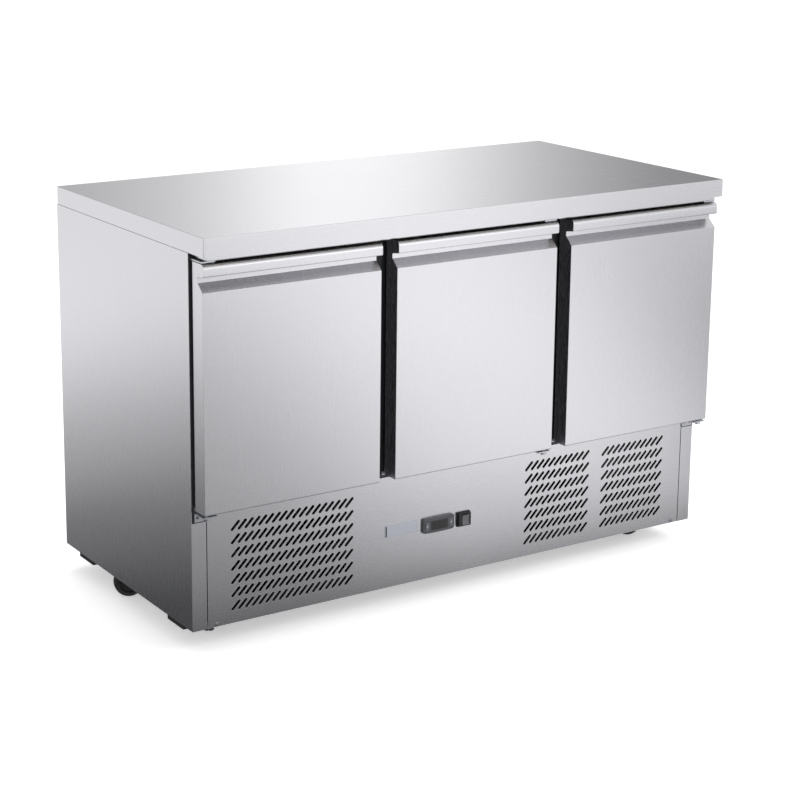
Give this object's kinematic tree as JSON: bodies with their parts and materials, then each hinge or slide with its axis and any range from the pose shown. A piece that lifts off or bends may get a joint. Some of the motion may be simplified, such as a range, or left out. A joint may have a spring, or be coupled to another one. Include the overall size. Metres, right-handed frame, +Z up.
{
  "type": "reach in refrigerator",
  "caption": "Three-door undercounter refrigerator with stainless worktop, hinged doors, lower machine grille panel, controller, switch and swivel casters.",
  "frame": {"origin": "on the floor under the middle of the worktop", "axes": "+X to the right seen from the front, +Y to the back, +Z up"},
  "size_m": [1.365, 0.7, 0.905],
  "materials": {
    "stainless": "brushed stainless sheet",
    "galvanised": "galvanised sheet",
    "board": "sealed board",
    "foam": "rigid foam",
    "black_plastic": "moulded, fine grain",
    "grey_plastic": "moulded, satin",
    "door_plastic": "embossed sheet",
    "seal_rubber": "soft extrusion",
    "rubber": "moulded",
    "zinc": "zinc plated",
    "black_steel": "black stoved enamel",
    "fin_aluminium": "pressed fins",
    "copper": "drawn copper tube",
    "window": "smoked display window",
    "plate_aluminium": "satin anodised",
    "shelf_wire": "plastic coated wire"
  },
  "bodies": {
    "cabinet": {"worktop_skin": "stainless", "worktop_board": "board", "worktop_lip": "stainless", "side_panel_left": "stainless", "side_panel_right": "stainless", "back_panel": "galvanised", "insulation": "foam", "inner_liner": "stainless", "door_frame": "black_plastic", "mullion_left": "black_plastic", "mullion_right": "black_plastic", "front_panel": "stainless", "cover_screws": "zinc", "name_plate": "plate_aluminium", "controller_housing": "black_plastic", "controller_window": "window", "switch_bezel": "black_plastic", "hinge_brackets_top": "zinc", "hinge_brackets_bottom": "black_steel", "base_pan": "galvanised", "skid_pads": "rubber", "caster_plates": "zinc", "wire_shelf_left": "shelf_wire", "wire_shelf_middle": "shelf_wire", "wire_shelf_right": "shelf_wire", "shelf_pilasters": "galvanised", "shelf_runners": "galvanised", "condenser_coil": "fin_aluminium", "fan_shroud": "galvanised", "fan_motors": "black_steel", "refrigerant_pipes": "copper", "compressor": "black_steel", "evaporator_coil": "fin_aluminium", "evaporator_cover": "stainless", "power_inlet": "black_plastic"},
    "door_left": {"door_skin_left": "stainless", "door_core_left": "foam", "door_inner_left": "door_plastic", "door_gasket_left": "seal_rubber"},
    "door_middle": {"door_skin_middle": "stainless", "door_core_middle": "foam", "door_inner_middle": "door_plastic", "door_gasket_middle": "seal_rubber"},
    "door_right": {"door_skin_right": "stainless", "door_core_right": "foam", "door_inner_right": "door_plastic", "door_gasket_right": "seal_rubber"},
    "caster_front_left": {"caster_fork_front_left": "zinc"},
    "wheel_front_left": {"caster_wheel_front_left": "rubber"},
    "caster_front_right": {"caster_fork_front_right": "zinc"},
    "wheel_front_right": {"caster_wheel_front_right": "rubber"},
    "caster_rear_left": {"caster_fork_rear_left": "zinc"},
    "wheel_rear_left": {"caster_wheel_rear_left": "rubber"},
    "caster_rear_right": {"caster_fork_rear_right": "zinc"},
    "wheel_rear_right": {"caster_wheel_rear_right": "rubber"},
    "condenser_fan": {"condenser_fan": "black_plastic"},
    "evaporator_fan": {"evaporator_fan": "black_plastic"},
    "key_left": {"controller_key_left": "grey_plastic"},
    "key_right": {"controller_key_right": "grey_plastic"},
    "rocker": {"switch_rocker": "grey_plastic"}
  },
  "joints": [
    {"name": "door_left_hinge", "type": "hinge", "parent": "cabinet", "child": "door_left", "pos_m": [-0.6655, -0.318, 0.55], "axis": [0, 0, -1], "range_deg": [0, 100]},
    {"name": "door_middle_hinge", "type": "hinge", "parent": "cabinet", "child": "door_middle", "pos_m": [0.2005, -0.318, 0.55], "axis": [0, 0, 1], "range_deg": [0, 100]},
    {"name": "door_right_hinge", "type": "hinge", "parent": "cabinet", "child": "door_right", "pos_m": [0.6655, -0.318, 0.55], "axis": [0, 0, 1], "range_deg": [0, 100]},
    {"name": "caster_front_left_swivel", "type": "hinge", "parent": "cabinet", "child": "caster_front_left", "pos_m": [-0.596, -0.19, 0.09], "axis": [0, 0, 1], "continuous": true},
    {"name": "wheel_front_left_spin", "type": "hinge", "parent": "caster_front_left", "child": "wheel_front_left", "pos_m": [-0.58473, -0.16881, 0.035], "axis": [-0.8829, 0.4695, 0], "continuous": true},
    {"name": "caster_front_right_swivel", "type": "hinge", "parent": "cabinet", "child": "caster_front_right", "pos_m": [0.596, -0.19, 0.09], "axis": [0, 0, 1], "continuous": true},
    {"name": "wheel_front_right_spin", "type": "hinge", "parent": "caster_front_right", "child": "wheel_front_right", "pos_m": [0.58473, -0.16881, 0.035], "axis": [-0.8829, -0.4695, 0], "continuous": true},
    {"name": "caster_rear_left_swivel", "type": "hinge", "parent": "cabinet", "child": "caster_rear_left", "pos_m": [-0.619, 0.096, 0.09], "axis": [0, 0, 1], "continuous": true},
    {"name": "wheel_rear_left_spin", "type": "hinge", "parent": "caster_rear_left", "child": "wheel_rear_left", "pos_m": [-0.64218, 0.10221, 0.035], "axis": [-0.2588, -0.9659, 0], "continuous": true},
    {"name": "caster_rear_right_swivel", "type": "hinge", "parent": "cabinet", "child": "caster_rear_right", "pos_m": [0.619, 0.096, 0.09], "axis": [0, 0, 1], "continuous": true},
    {"name": "wheel_rear_right_spin", "type": "hinge", "parent": "caster_rear_right", "child": "wheel_rear_right", "pos_m": [0.61079, 0.11855, 0.035], "axis": [-0.9397, -0.342, 0], "continuous": true},
    {"name": "condenser_fan_spin", "type": "hinge", "parent": "cabinet", "child": "condenser_fan", "pos_m": [-0.438, -0.204, 0.1855], "axis": [0, 1, 0], "continuous": true},
    {"name": "evaporator_fan_spin", "type": "hinge", "parent": "cabinet", "child": "evaporator_fan", "pos_m": [0.085, 0.2498, 0.697], "axis": [0, 1, 0], "continuous": true},
    {"name": "key_left_press", "type": "slide", "parent": "cabinet", "child": "key_left", "axis": [0, 1, 0], "range_m": [0, 0.0008], "stiffness_N_per_m": 600},
    {"name": "key_right_press", "type": "slide", "parent": "cabinet", "child": "key_right", "axis": [0, 1, 0], "range_m": [0, 0.0008], "stiffness_N_per_m": 600},
    {"name": "rocker_tilt", "type": "hinge", "parent": "cabinet", "child": "rocker", "pos_m": [0.006, -0.2845, 0.18], "axis": [1, 0, 0], "range_deg": [-9, 9]}
  ]
}
